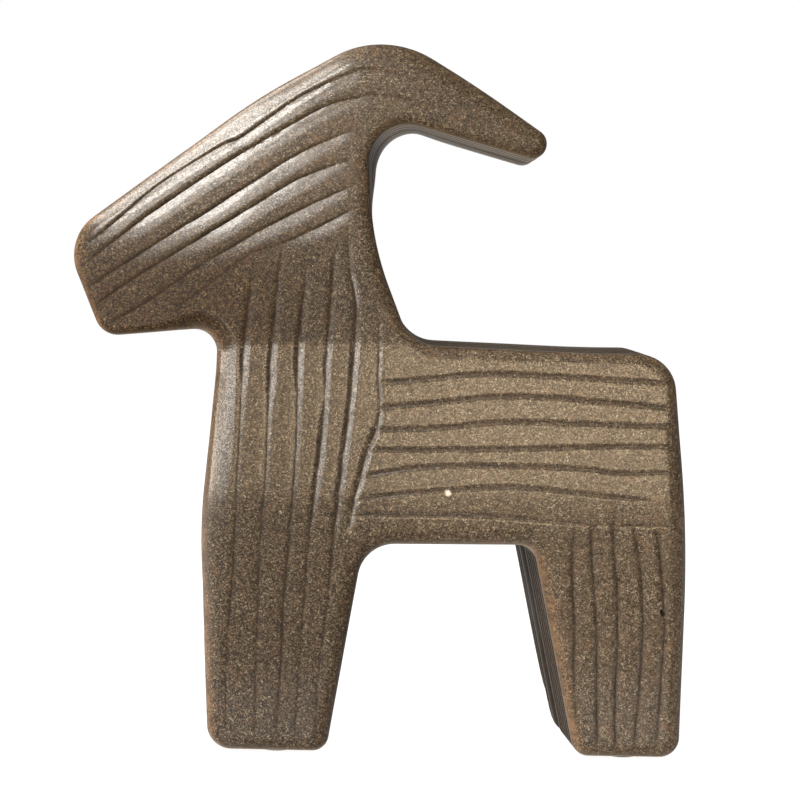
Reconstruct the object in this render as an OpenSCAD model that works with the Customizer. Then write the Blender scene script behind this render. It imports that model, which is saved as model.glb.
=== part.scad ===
// Yule goat, a stoneware figure that stands by itself.
// Two hollow halves are pressed in moulds and joined along the mid plane. A clay plate with a vent
// closes the open end of each leg, and felt pads keep the fired clay off the shelf.
// Sizes are in millimetres. X runs from the muzzle to the rump, Z is up, and Y = 0 is the mid plane.

/* [Body] */
// Height of the clay body, which scales its whole outline
body_height = 211; // [190:1:280]
// Thickness over both halves, at the body and the legs
body_thick = 56; // [50:1:70]
// Radius of the soft edge all round each face
edge_radius = 4.5; // [2:0.1:4.5]
// Angle by which the face leans in above the shoulder crease
head_lean = 4; // [0:0.5:5]
// Distance by which the front edge of the hind leg slants from the left face to the right face
hind_slant = 4.5; // [0:0.5:6]
// Thickness of the pressed clay
wall = 6.5; // [5:0.5:8]
// Bevel where the two halves meet
seam_bevel = 0.3; // [0.1:0.1:0.6]

/* [Combed grooves] */
// Depth of a groove on the head and the neck
groove_depth = 1.2; // [0.4:0.1:1.6]
// Width of the mark that the point of a comb tooth leaves
tooth_width = 3; // [2:0.2:4]
// Width of the soft valley round that mark
valley_width = 6.4; // [4.4:0.2:7]

/* [Feet] */
// Length of a foot plate, along the body
plate_length = 16; // [14:1:17]
// Width of a foot plate, across the body
plate_width = 40; // [34:1:40]
// Thickness of a foot plate
plate_thick = 5; // [4:0.5:6]
// Width of the ledge that a foot plate is luted to
ledge = 2.5; // [1.5:0.5:3]
// Diameter of the vent in a foot plate
vent_d = 6; // [3:0.5:8]
// Diameter of a felt pad
pad_d = 12; // [8:1:14]
// Thickness of a felt pad
pad_thick = 1; // [0.6:0.2:3]
// Distance of a pad's centre from the mid plane
pad_y = 13; // [9:0.5:13]

/* [Hidden] */
// Steps in the arc at each corner of the outline
arc_steps = 5;
// Steps in the curve round the edge of a face
edge_steps = 4;
// Steps between two points of a groove
groove_steps = 2;
// Radius of the corners of the hollow
hollow_round = 4;
// Slip joint all round a foot plate
joint = 0.15;
// Height of the outline as it is drawn below
drawn_height = 211;
scale_up = body_height / drawn_height;
half = body_thick / 2;
// Height of the shoulder crease above the soles
crease = 122.5 * scale_up;
front_foot_x = -29.7 * scale_up;
hind_foot_x = 75 * scale_up;

// The goat's outline, seen from its left side: each corner's x, its height above the soles, the radius
// that rounds it, and 1 where the corner moves with the slant of the hind leg
corners = [
    [-95, 151.5, 14, 0],     // muzzle
    [-38, 194.5, 188, 0],    // brow
    [-1.5, 215.5, 29, 0],    // crown
    [29.5, 197, 398, 0],     // top of the horn
    [66, 172, 4.5, 0],       // tip of the horn
    [14, 185.5, 90, 0],      // underside of the horn
    [-6, 191, 13, 0],        // arch under the horn
    [-4, 151.5, 88, 0],      // nape
    [8, 122.5, 12, 0],       // front end of the back
    [63.5, 121, 370, 0],     // middle of the back
    [85.5, 121.5, 11.5, 0],  // rump
    [92, 69, 372, 0],        // hip
    [91.5, 0, 6, 0],         // hind heel
    [60.5, 0, 5, 1],         // hind toe
    [46.5, 63.5, 6, 1],      // hind end of the belly
    [-4.5, 63, 11, 0],       // front end of the belly
    [-14.5, 0, 5, 0],        // front heel
    [-50, 0, 10, 0],         // front toe
    [-53, 67.5, 155, 0],     // lower chest
    [-49, 113.5, 46, 0],     // upper chest
    [-50, 126.5, 7, 0],      // throat
    [-82.5, 123, 7, 0],      // chin
];
corner_count = len(corners);
// The edge is no rounder than the tip of the horn
edge = min(edge_radius, corners[4].z * scale_up);
ring_size = corner_count * (arc_steps + 1);
// Places in a ring where the shoulder crease ends, at the throat and at the front end of the back
throat_place = 20 * (arc_steps + 1) + 1;
back_place = 8 * (arc_steps + 1) + 2;

// Grooves that run from the muzzle to the crown and on to the horn
head_lines = [
    [[-86, 151], [-66, 168], [-26, 194.5], [-4, 202.5], [5, 200.5]],
    [[-88, 144], [-72, 157], [-32, 184], [-4, 195], [22, 189.5]],
    [[-86, 137], [-66, 151.5], [-25, 178], [-10.5, 185]],
    [[-83.5, 132.5], [-66, 145], [-25, 170.5], [-10, 177]],
    [[-80.5, 127.5], [-68.5, 134.5], [-37, 155], [-9.5, 169]],
    [[-40, 148], [-31, 151], [-20, 156], [-9, 162.5]],
];
// Grooves that run from the neck down the front leg
neck_lines = [
    [[-40, 131], [-41.5, 105], [-43, 61], [-44.5, 6]],
    [[-31.5, 139], [-33, 119], [-35, 55], [-36, 4.5]],
    [[-24, 133.5], [-25, 105], [-27, 55], [-29.5, 4]],
    [[-15.5, 139.5], [-17, 112], [-21.5, 55], [-24, 4]],
    [[-10.5, 145.5], [-8.5, 128], [-11, 90], [-15, 47], [-18, 4]],
    [[-1.5, 131], [-1, 104], [-6, 84], [-9, 67.5]],
];
// Grooves that run along the body to the rump
body_lines = [
    [[0, 111.5], [22, 114], [46, 114.5], [84, 113]],
    [[-0.5, 104], [22, 106.5], [44, 108], [84, 105.5]],
    [[-1.5, 97.5], [20, 98.5], [44, 100.5], [85, 100]],
    [[-3, 91.5], [23, 92], [50, 93.5], [84.5, 94]],
    [[-5, 83.5], [11, 86.5], [42, 87.5], [84, 86.5]],
    [[-6.5, 77], [11, 79], [42, 81], [78, 78]],
    [[-8, 72], [18, 72.5], [50, 71.5], [84, 70.5]],
];
// Grooves that run down the hind leg
hind_lines = [
    [[57.5, 66.5], [57.5, 54], [60, 13]],
    [[62.5, 68], [64.5, 51], [66.5, 3.5]],
    [[68.5, 70.5], [71, 49], [72, 3]],
    [[75.5, 67], [78.5, 47], [77.5, 3.5]],
    [[82, 66.5], [85, 44], [84.5, 4.5]],
];

function unit(v) = v / norm(v);

// Corner k of the outline, with the hind leg slanted back by slant
function corner(k, slant) =
    let (c = corners[k % corner_count])
    [c.x * scale_up - c[3] * slant, c.y * scale_up];

// Points of the arc that rounds corner k, drawn in by inset
function arc(k, inset, slant) =
    let (
        here = corner(k, slant),
        before = unit(here - corner(k + corner_count - 1, slant)),
        after = unit(corner(k + 1, slant) - here),
        turn = atan2(cross(before, after), before * after),
        side = sign(turn),
        radius = corners[k].z * scale_up,
        start = here - before * radius * tan(abs(turn) / 2),
        centre = start + side * radius * [-before.y, before.x],
        heading = atan2(before.y, before.x)
    )
    [
        for (i = [0:arc_steps])
        let (angle = heading + turn * i / arc_steps)
        centre + (side * radius + inset) * [sin(angle), -cos(angle)]
    ];

function outline(inset, slant) = [for (k = [0:corner_count - 1]) each arc(k, inset, slant)];

// Height of the face above the mid plane at a height above the soles
function face_at(height) = half - tan(head_lean) * max(0, height - crease);

// One ring of the half's surface: the outline drawn in by inset, at a level above the mid plane
function ring(inset, level, side) =
    [
        for (p = outline(inset, hind_slant / 2 * (1 - side * level / half)))
        [p.x, p.y, level * face_at(p.y) / half]
    ];

// Point at t on the smooth curve between b and c, with a before and d after them
function between(a, b, c, d, t) =
    b + 0.5 * t * (c - a + t * (2 * a - 5 * b + 4 * c - d + t * (3 * (b - c) + d - a)));

function smooth(line) =
    let (last = len(line) - 1)
    [
        for (i = [0:last - 1], j = [0:groove_steps - 1])
        between(line[max(i - 1, 0)], line[i], line[i + 1], line[min(i + 2, last)], j / groove_steps),
        line[last]
    ];

// Share of its depth that a groove has at t along it, so that it rises out of the clay at both ends
function fade(t) = min(1, 0.3 + 6 * min(t, 1 - t));

// Outer form of a half, with its face up
module half_form(side) {
    rings = [
        ring(seam_bevel, 0, side),
        ring(0, seam_bevel, side),
        for (i = [0:edge_steps])
        let (angle = 90 * i / edge_steps)
        ring(edge * (1 - cos(angle)), half - edge * (1 - sin(angle)), side),
    ];
    top = (len(rings) - 1) * ring_size;
    polyhedron(
        points = [for (r = rings) each r],
        faces = [
            [for (i = [ring_size - 1:-1:0]) i],
            for (r = [0:len(rings) - 2], i = [0:ring_size - 1])
            let (
                here = r * ring_size + i,
                next = r * ring_size + (i + 1) % ring_size
            )
            [here, next, next + ring_size, here + ring_size],
            [for (i = [back_place:throat_place]) top + i],
            [for (i = [throat_place:ring_size + back_place]) top + i % ring_size],
        ],
        convexity = 10
    );
}

// Hollow of a half, with a wall of even thickness behind the upright and the leaning part of the face
module hollow() {
    difference() {
        translate([0, 0, -1])
            linear_extrude(half - wall + 1)
                hollow_outline();
        translate([0, crease, half - wall])
            rotate([-head_lean, 0, 0])
                translate([-body_height, -1, 0])
                    cube([2 * body_height, body_height, body_thick]);
    }
}

module hollow_outline() {
    offset(r = hollow_round, $fn = 24)
        offset(delta = -wall - hollow_round)
            polygon([for (k = [0:corner_count - 1]) corner(k, hind_slant / 2)]);
}

// Four-sided tooth of the comb, with its point in the clay and two of its corners across the groove
module tooth(place, heading, width, depth, share) {
    above = 0.4;
    translate([place.x, place.y, face_at(place.y)])
        rotate([place.y > crease ? -head_lean : 0, 0, 0])
            rotate(heading)
                translate([0, 0, -depth * share])
                    cylinder(
                        h = depth * share + above,
                        r1 = 0,
                        r2 = width / 2 * (share + above / depth),
                        $fn = 4
                    );
}

// Groove that a tooth ploughs along a line
module groove(line, width, depth) {
    path = smooth(line) * scale_up;
    last = len(path) - 1;
    ways = [for (i = [0:last]) path[min(i + 1, last)] - path[max(i - 1, 0)]];
    headings = [for (w = ways) atan2(w.y, w.x)];
    for (i = [0:last - 1])
        hull() {
            tooth(path[i], headings[i], width, depth, fade(i / last));
            tooth(path[i + 1], headings[i + 1], width, depth, fade((i + 1) / last));
        }
}

// Combed face: each line has a wide soft valley with the sharper mark of the tooth along its middle
module combing(lines, depth) {
    for (line = lines) {
        groove(line, valley_width, depth * 0.45);
        groove(line, tooth_width, depth);
    }
}

// A half with its face up and its joint on the mid plane
module half_shell(side) {
    difference() {
        half_form(side);
        hollow();
        combing(head_lines, groove_depth);
        combing(neck_lines, groove_depth);
        combing(body_lines, groove_depth * 0.75);
        combing(hind_lines, groove_depth * 0.85);
    }
}

module plate_outline(inset) {
    offset(r = 3)
        square([plate_length - 2 * inset - 6, plate_width - 2 * inset - 6], center = true);
}

// Seat of a foot plate, with the way past its ledge into the leg
module foot_opening(x) {
    translate([x, 0, pad_thick - 1])
        linear_extrude(plate_thick + 1)
            plate_outline(-joint);
    translate([x, 0, pad_thick])
        linear_extrude(wall + 2)
            plate_outline(ledge);
}

module foot_plate(x) {
    translate([x, 0, pad_thick])
        difference() {
            linear_extrude(plate_thick)
                plate_outline(0);
            translate([0, 0, -1])
                cylinder(d = vent_d, h = plate_thick + 2, $fn = 32);
        }
}

module felt_pad(x, y) {
    translate([x, y, 0])
        cylinder(d = pad_d, h = pad_thick, $fn = 32);
}

module left_shell() {
    color("SaddleBrown")
        difference() {
            translate([0, 0, pad_thick])
                rotate([90, 0, 0])
                    half_shell(1);
            foot_opening(front_foot_x);
            foot_opening(hind_foot_x);
        }
}

module right_shell() {
    color("Sienna")
        difference() {
            translate([0, 0, pad_thick])
                mirror([0, 1, 0])
                    rotate([90, 0, 0])
                        half_shell(-1);
            foot_opening(front_foot_x);
            foot_opening(hind_foot_x);
        }
}

module front_foot_plate() {
    color("Tan")
        foot_plate(front_foot_x);
}

module hind_foot_plate() {
    color("Tan")
        foot_plate(hind_foot_x);
}

module front_left_pad() {
    color("DimGray")
        felt_pad(front_foot_x, -pad_y);
}

module front_right_pad() {
    color("DimGray")
        felt_pad(front_foot_x, pad_y);
}

module hind_left_pad() {
    color("DimGray")
        felt_pad(hind_foot_x, -pad_y);
}

module hind_right_pad() {
    color("DimGray")
        felt_pad(hind_foot_x, pad_y);
}

left_shell();
right_shell();
front_foot_plate();
hind_foot_plate();
front_left_pad();
front_right_pad();
hind_left_pad();
hind_right_pad();
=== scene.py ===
import math

import bpy
import numpy as np
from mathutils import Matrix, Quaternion, Vector, geometry, noise


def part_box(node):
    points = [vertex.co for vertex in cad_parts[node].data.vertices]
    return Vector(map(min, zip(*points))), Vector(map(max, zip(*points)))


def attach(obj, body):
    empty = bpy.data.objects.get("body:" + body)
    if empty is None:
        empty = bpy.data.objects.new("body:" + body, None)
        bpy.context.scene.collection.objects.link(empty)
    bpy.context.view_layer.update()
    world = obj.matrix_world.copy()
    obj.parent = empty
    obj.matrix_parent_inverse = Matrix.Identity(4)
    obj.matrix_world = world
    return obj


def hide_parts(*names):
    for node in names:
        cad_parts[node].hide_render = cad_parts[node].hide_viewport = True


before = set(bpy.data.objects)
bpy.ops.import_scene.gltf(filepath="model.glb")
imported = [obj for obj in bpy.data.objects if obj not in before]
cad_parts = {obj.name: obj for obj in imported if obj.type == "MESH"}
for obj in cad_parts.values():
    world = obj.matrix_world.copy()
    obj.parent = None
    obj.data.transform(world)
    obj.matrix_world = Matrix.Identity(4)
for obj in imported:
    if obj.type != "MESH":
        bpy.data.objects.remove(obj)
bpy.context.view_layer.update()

# The body is two halves of stoneware, pressed in moulds and joined face to face along the mid plane with
# slip. A comb has ploughed grooves in the soft clay, on the faces and round the sides, the edges are wiped
# round by hand, and each half is hollow. A satin glaze covers it and breaks to rust where it is thin.

MM = 0.001
shell_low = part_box("left_shell")[0]
# Height of the soles over the ground, and half the thickness of the trunk
SOLE = shell_low.z / MM
HALF = -shell_low.y / MM
# The face leans back and is crowned above the shoulder's crease, and leans in below the trunk
HEAD_LEAN = math.radians(4)
HEAD_CROWN = 0.0002
CREASE = 122.5
CREASE_SOFT = 0.8
LEG_LEAN = math.radians(2)
LEG_CREASE = 78
LEG_SOFT = 4
# How much further forward the hind leg's front edge is on the right face than on the left one
HIND_SLANT = 4.5
# Thickness of the clay, the bevel along the seam, and how far the glaze stays out of the seam
WALL = 6.5
SEAM_BEVEL = 0.3
SEAM_BARE = 1.5
# Spacing of the points along the outline, and their rows over the sides and round the edges: rings for the
# first part of an edge's turn, and rows among the face's own points from there on
OUTLINE_STEP = 1.4
WALL_ROWS = 50
EDGE_ROWS = 8
EDGE_TURN = math.radians(48)
FACE_ROWS = 9
FACE_STEP = 1.7
# How far along the outline one corner's edge blends into the next
EDGE_BLEND = 6

# Corners of the side view: x, height above the soles, radius, the share of the hind leg's slant that moves
# it, how far the edge is wiped round there, and how glossy it is left
CORNERS = [
    (-95.1, 151.4, 14, 0, 5.5, 0.6),  # muzzle
    (-38.3, 195, 188, 0, 9, 1),  # brow
    (-1.5, 215.5, 29, 0, 7, 0.6),  # crown
    (29.5, 197, 398, 0, 5.5, 0.2),  # top of the horn
    (66.3, 171.4, 4.5, 0, 3.2, 0),  # tip of the horn
    (14, 185.5, 90, 0, 2.6, 0),  # underside of the horn
    (-6.8, 190.6, 11.5, -0.6, 3, 0),  # arch under the horn
    (-3.5, 151.5, 88, 0, 4, 0.2),  # nape
    (8, 122.5, 12, 0, 2.8, 0.4),  # front end of the back
    (63.5, 121, 370, 0, 2, 0.4),  # middle of the back
    (85.5, 121.5, 11.5, 0, 3.2, 0.2),  # rump
    (92, 69, 372, 0, 5.5, 0.2),  # hip
    (91.5, 0, 6, 0, 5, 0),  # hind heel
    (60.5, 0, 5, 1, 4.6, 0.2),  # hind toe
    (46.5, 63.5, 6, 1, 5.5, 0.2),  # hind end of the belly
    (-4.5, 63, 11, 0, 4.5, 0),  # front end of the belly
    (-14.5, 0, 5, 0, 4.6, 0),  # front heel
    (-50, 0, 7.5, 0, 4.8, 0.5),  # front toe
    (-53.6, 67.5, 155, 0, 9, 1),  # lower chest
    (-49.5, 113.5, 46, 0, 7.5, 1),  # upper chest
    (-49, 126.2, 6.5, 0, 7, 1),  # throat
    (-61, 125.2, 20, 0, 2.6, 0),  # cheek
    (-82.5, 123, 7, 0, 2.6, 0),  # chin
]


def unit(vector):
    return vector / np.linalg.norm(vector)


def left_of(way):
    return np.array((-way[1], way[0]))


# The fewest steps round a corner, and the largest turn of one step
CORNER_STEPS = 3
CORNER_TURN = math.radians(8)


def rounded(corners, step):
    """Points along an outline with rounded corners, their outward normals, and what else the corners give,
    blended from corner to corner."""
    count = len(corners)
    places = [np.array(c[:2], float) for c in corners]
    extras = [np.array(c[3:], float) for c in corners]
    arcs = []
    for k in range(count):
        before = unit(places[k] - places[k - 1])
        after = unit(places[(k + 1) % count] - places[k])
        turn = math.atan2(before[0] * after[1] - before[1] * after[0], before @ after)
        arcs.append((before, after, turn, corners[k][2] * math.tan(abs(turn) / 2)))
    points, normals, given = [], [], []
    for k, (before, after, turn, reach) in enumerate(arcs):
        radius = math.copysign(corners[k][2], turn)
        centre = places[k] - before * reach + radius * left_of(before)
        steps = max(CORNER_STEPS, math.ceil(abs(turn * radius) / step), math.ceil(abs(turn) / CORNER_TURN))
        for i in range(steps + 1):
            angle = math.atan2(before[1], before[0]) + turn * i / steps
            outward = left_of(np.array((math.cos(angle), math.sin(angle))))
            points.append(centre - radius * outward)
            normals.append(outward)
            given.append(extras[k])
        following = (k + 1) % count
        here = places[k] + after * reach
        there = places[following] - after * arcs[following][3]
        steps = max(1, math.ceil(np.linalg.norm(there - here) / step))
        for i in range(1, steps):
            points.append(here + (there - here) * i / steps)
            normals.append(left_of(after))
            given.append(extras[k] + (extras[following] - extras[k]) * i / steps)
    return np.array(points), np.array(normals), np.array(given)


# Grooves of the comb: x, height above the soles and, where the comb was pressed less, a share of the depth,
# and where the glaze pools more or less than that gives, how dark it is, partly as painted shade
HEAD_GROOVES = [
    [(-88, 149.5, 0.15, 0.5), (-83, 153.5, 0.3, 0.7), (-78, 157.8, 0.75, 0.6), (-66.5, 168, 1, 0.5),
     (-49, 179.5, 1, 0.6), (-42.5, 182.5, 1, 0.7), (-26, 194.5, 1, 0.5), (-13, 201, 0.6, 0.45),
     (-7, 203, 0.4, 0.3), (5, 201, 0.2, 0.15)],
    [(-89.5, 142.5, 0.1, 0.5), (-82, 149, 0.15, 0.8), (-77, 153, 0.3, 0.8), (-72, 157, 0.85, 0.6),
     (-64, 162.8, 1, 0.5), (-43.5, 177, 1, 0.45), (-20, 191, 0.75, 0.4), (-9.5, 194.5, 0.4, 0.35),
     (-2.5, 195.5, 0.3, 0.25), (12, 193, 0.25, 0.2), (21, 190, 0.15, 0.1)],
    [(-88, 136, 0.1, 0.6), (-82, 140.5, 0.15, 1), (-76, 144.5, 0.15, 1), (-70, 148.6, 0.3, 0.9),
     (-65, 152, 0.55, 0.8), (-60, 155.3, 0.8, 0.65), (-54, 159, 1, 0.55), (-43, 166.5, 1, 0.5),
     (-25.5, 178, 0.7, 0.4), (-10.5, 185, 0.2, 0.25)],
    [(-85, 131.5, 0.1, 0.6), (-78, 137, 0.15, 1), (-66, 145, 0.15, 0.95), (-61, 148.2, 0.3, 0.85),
     (-56, 151.3, 0.55, 0.75), (-51, 154.5, 0.8, 0.65), (-43, 159.5, 1, 0.6), (-25.5, 170.5, 0.7, 0.5),
     (-10.5, 176.5, 0.2, 0.3)],
    [(-81.5, 126.5, 0.08, 0.4), (-76, 129.5, 0.12, 0.8), (-68.5, 134, 0.12, 0.9), (-54, 144.5, 0.12, 0.8),
     (-46, 149.3, 0.25, 0.7), (-41, 152.5, 0.45, 0.65), (-35, 156, 0.65, 0.6), (-22, 163, 0.6, 0.5),
     (-9.5, 169, 0.2, 0.3)],
    [(-62, 131, 0.06, 0.4), (-50, 140, 0.08, 0.6), (-39.5, 148, 0.1, 0.6), (-31, 151, 0.15, 0.55),
     (-22, 155.3, 0.5, 0.5), (-15, 159, 0.5, 0.45), (-9, 162.5, 0.2, 0.3)],
]
NECK_GROOVES = [
    [(-39, 143, 0.2), (-40, 131), (-41, 121.5), (-41.3, 114, 0.8), (-41.5, 107, 0.3, 0.8),
     (-42, 90, 0.15, 0.75), (-42.5, 78, 0.3, 0.8), (-43, 55, 0.5, 0.9), (-44.5, 29.5, 0.6, 0.9),
     (-44.5, 5.5, 0.4, 0.7)],
    [(-30.5, 150, 0.2), (-31.5, 139, 0.6), (-32, 130.5), (-33, 119), (-33.2, 109, 0.85),
     (-33.5, 101, 0.3, 0.8), (-34, 82, 0.25, 0.8), (-35, 67, 0.45, 0.9), (-35.5, 43, 0.6),
     (-36, 4.5, 0.4, 0.7)],
    [(-23, 146, 0.2), (-24, 133.5), (-25, 121), (-25, 111, 0.75), (-25, 101, 0.4, 0.85),
     (-25.2, 90, 0.3, 0.8), (-26, 75, 0.4, 0.9), (-27.5, 49.5, 0.65, 1), (-28.5, 24, 0.6, 0.9),
     (-29.5, 4, 0.4, 0.7)],
    [(-14.5, 152, 0.2), (-15.5, 139.5), (-16.5, 120.5, 0.8), (-17, 109, 0.55), (-17.5, 98, 0.8),
     (-18.5, 86), (-19.5, 76.5, 0.8), (-21, 62, 0.5), (-22, 43.5, 0.5), (-24, 4, 0.4, 0.6)],
    [(-11.5, 157, 0.3), (-10.5, 145.5, 0.7), (-8.5, 135), (-8.5, 125), (-9.5, 106), (-11, 91), (-13, 70.5),
     (-15, 45, 0.5), (-17, 25, 0.6), (-18, 4, 0.4, 0.6)],
    [(-1.5, 131, 0.3), (-1.5, 115, 0.5), (-1, 103.5, 0.5), (-1.5, 98, 0.7), (-3.5, 93), (-5, 87.5),
     (-8, 74.5), (-9, 67.5)],
]
BODY_GROOVES = [
    [(-2.3, 111.2), (11, 112.5), (28, 114.5), (46, 114.5), (70, 113.5), (87, 113)],
    [(-2.6, 103.8), (22, 106.5), (34, 108), (52, 108), (66, 107), (87, 105.5)],
    [(-3.2, 97.4), (18, 98.5), (36, 100.5), (60, 100.5), (87, 100)],
    [(-5.6, 91.4), (20, 92), (47, 93), (70, 94, 0.8), (87, 94, 0.6)],
    [(-7.6, 83), (11.5, 86.5), (35, 87.5), (59, 87, 0.8), (70, 86, 0.7), (86, 86.5, 0.6)],
    [(-9, 76.6), (11.5, 79), (32, 81), (45, 81), (68, 79, 0.6), (80, 78, 0.3)],
    [(-9.5, 72), (18, 72.5), (38, 72, 0.8), (65, 70.5, 0.5), (86, 70.5, 0.4)],
]
HIND_GROOVES = [
    [(57.5, 68.5, 0.5), (57.5, 58), (58.5, 42), (59, 24), (60, 10)],
    [(62.5, 70), (63, 62), (65, 42), (66, 20), (66.5, 3)],
    [(68.5, 72), (70, 60), (71.5, 42), (71.5, 15), (72, 2.5)],
    [(75.5, 69), (78, 55), (79, 37), (78.5, 20), (77.5, 3)],
    [(82, 68.5), (84, 56), (85.5, 40), (85, 24), (84.5, 4.5)],
]
# For each region: depth of its grooves, reach of their flanks to the right and to the left of the comb's
# way, how steeply these end, how wide the pooled glaze and painted shade go right and left, and how dark
COMBINGS = [
    # On the head the wide pool to the left is painted shade on each upper flank, which faces down
    (HEAD_GROOVES, 0.75, 4, 1.1, 1.7, 0.22, 0.9, 1),
    (NECK_GROOVES, 0.55, 1.7, 1.8, 1.4, 0.5, 0.4, 0.9),
    (BODY_GROOVES, 0.3, 0.8, 0.8, 1.4, 0.33, 0.33, 0.52),
    (HIND_GROOVES, 0.7, 1.6, 2.4, 1.5, 0.65, 0.5, 0.75),
]
# Points along a groove, the length over which it rises out of the clay at its ends, and what is left at the
# very end of its depth and of its stain, which fades faster
GROOVE_STEP = 1.2
GROOVE_FADE = 7
END_DEPTH = 0.25
END_STAIN = 0.4
STAIN_FADES = 2
# Points of its curve from knot to knot, and the power that makes a stain of a share where none is given
CURVE_POINTS = 24
STAIN_POWER = 0.3
# How a stroke of the comb varies: by how much, in which layer of noise and over what length. That is for its
# depth, its stain, its run, and the drift of the right half's strokes in x and in height. The stain also has
# a mean share
VARIED_DEPTH = (0.3, 90, 11)
VARIED_STAIN = (0.6, 50, 4)
VARIED_RUN = (0.22, 20, 5)
DRIFT_X = (0.7, 40, 30)
DRIFT_HEIGHT = (0.7, 70, 30)
STAIN_MEAN = 0.9


def uneven(x, y, height, length):
    """Smooth unevenness from -1 to 1 at one place."""
    return noise.noise(Vector((x / length, y / length, height / length)))


def soft_past(distance, softness):
    """How far past a crease something is: 0 before it, with a soft start."""
    return 0.5 * (distance + np.hypot(distance, softness))


def face_at(height):
    """How far the face is from the mid plane: upright on the trunk, leaning back and crowned above the
    crease, and leaning in a little below the trunk."""
    over = soft_past(height - CREASE, CREASE_SOFT)
    under = soft_past(LEG_CREASE - height, LEG_SOFT)
    return HALF - math.tan(HEAD_LEAN) * over - HEAD_CROWN * over ** 2 - math.tan(LEG_LEAN) * under


def smooth_line(line, step):
    """The smooth curve through a groove's points, as rows of x, height, share and stain, evenly spaced."""
    knots = [p if len(p) > 2 else p + (1,) for p in line]
    knots = np.array([p if len(p) > 3 else p + (p[2] ** STAIN_POWER,) for p in knots], float)
    ends = np.vstack((knots[:1], knots, knots[-1:]))
    curve = []
    for a, b, c, d in zip(ends, ends[1:], ends[2:], ends[3:]):
        for t in np.linspace(0, 1, CURVE_POINTS, endpoint=False):
            bend = 2 * a - 5 * b + 4 * c - d + t * (3 * (b - c) + d - a)
            curve.append(b + 0.5 * t * (c - a + t * bend))
    curve = np.array(curve + [knots[-1]])
    along = np.concatenate(([0], np.cumsum(np.linalg.norm(np.diff(curve[:, :2], axis=0), axis=1))))
    even = np.linspace(0, along[-1], max(2, round(along[-1] / step)) + 1)
    rows = np.stack([np.interp(even, along, curve[:, i]) for i in range(4)], axis=1)
    inward = np.minimum(even, along[-1] - even) / GROOVE_FADE
    rows[:, 2] *= np.clip(END_DEPTH + inward, 0, 1)
    rows[:, 3] *= np.clip(END_STAIN + STAIN_FADES * inward, 0, 1)
    return rows


def varied(row, side, amount, layer, length):
    """How much a stroke of the comb varies at one of its rows."""
    return amount * uneven(row[0], layer * side, row[1], length)


def combed_lines(side):
    """All grooves of one face, each with its cut. No two faces are combed quite alike."""
    lines = []
    for grooves, *cut in COMBINGS:
        for line in grooves:
            rows = smooth_line(line, GROOVE_STEP)
            for row in rows:
                row[2] *= 1 + varied(row, side, *VARIED_DEPTH)
                row[3] *= min(1, STAIN_MEAN + varied(row, side, *VARIED_STAIN))
                row[:2] += varied(row, side, *VARIED_RUN)
                if side > 0:
                    row[0] += varied(row, side, *DRIFT_X)
                    row[1] += varied(row, side, *DRIFT_HEIGHT)
            lines.append((rows, cut))
    return lines


def carve(places, lines):
    """How deep the comb has cut at each place of a face, and how near a groove's bottom it is, as pool and
    painted shade.
    """
    depth = np.zeros(len(places))
    bottom = np.zeros(len(places))
    for rows, (full_depth, right, left, steep, pool_and_shade_right, pool_and_shade_left, dark) in lines:
        low = rows[:, :2].min(0) - max(right, left)
        high = rows[:, :2].max(0) + max(right, left)
        near = np.flatnonzero(((places > low) & (places < high)).all(1))
        if not len(near):
            continue
        starts = rows[:-1, :2]
        ways = rows[1:, :2] - starts
        offsets = places[near, None, :] - starts[None]
        t = np.clip((offsets * ways).sum(2) / (ways * ways).sum(1), 0, 1)
        apart = np.linalg.norm(offsets - t[..., None] * ways, axis=2)
        best = apart.argmin(1)
        pick = np.arange(len(near))
        t = t[pick, best]
        distance = apart[pick, best]
        offset, way = offsets[pick, best], ways[best]
        on_left = way[:, 0] * offset[:, 1] > way[:, 1] * offset[:, 0]
        share, stain_and_shade = (rows[best, 2:] * (1 - t)[:, None] + rows[best + 1, 2:] * t[:, None]).T
        cut = full_depth * share * np.clip(1 - distance / np.where(on_left, left, right), 0, 1) ** steep
        depth[near] = np.maximum(depth[near], cut)
        pooled_and_shaded = dark * stain_and_shade * np.exp(-(distance / np.where(on_left, pool_and_shade_left, pool_and_shade_right)) ** 2)
        bottom[near] = np.maximum(bottom[near], pooled_and_shaded)
    return depth, bottom


def blended(points, given):
    """What the corners give to the points of an outline, smoothed along it."""
    steps = np.linalg.norm(np.roll(points, -1, axis=0) - points, axis=1)
    along = np.cumsum(steps) - steps
    apart = np.abs(along[:, None] - along)
    apart = np.minimum(apart, steps.sum() - apart)
    near = np.exp(-(apart / EDGE_BLEND) ** 2) * (steps + np.roll(steps, 1))
    return near @ given / near.sum(1)[:, None]


outline_points, outline_normals, outline_given = rounded(CORNERS, OUTLINE_STEP)
outline_slant, outline_edge, outline_gloss = blended(outline_points, outline_given).T
# The right hind toe is worn rounder than the left one: its place, how much more, and how far that reaches
TOE = (60.5, 0)
TOE_WORN = 8.5
TOE_REACH = 14
from_toe = np.linalg.norm(outline_points - np.array(TOE), axis=1)
worn_edge = outline_edge + TOE_WORN * np.exp(-(from_toe / TOE_REACH) ** 2)


def inset_outline(insets, shift):
    """The outline drawn in by insets, with the hind leg's slant moved by its share of a shift."""
    flat = outline_points - outline_normals * insets[:, None]
    flat[:, 0] -= shift * outline_slant
    return flat


def to_line(places, a, b):
    """How far along the line from a to b each place is, as a share, and how far away from the line."""
    along = np.clip((places - a) @ (b - a) / ((b - a) @ (b - a)), 0, 1)
    return along, np.linalg.norm(places - a - along[:, None] * (b - a), axis=1)


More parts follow.
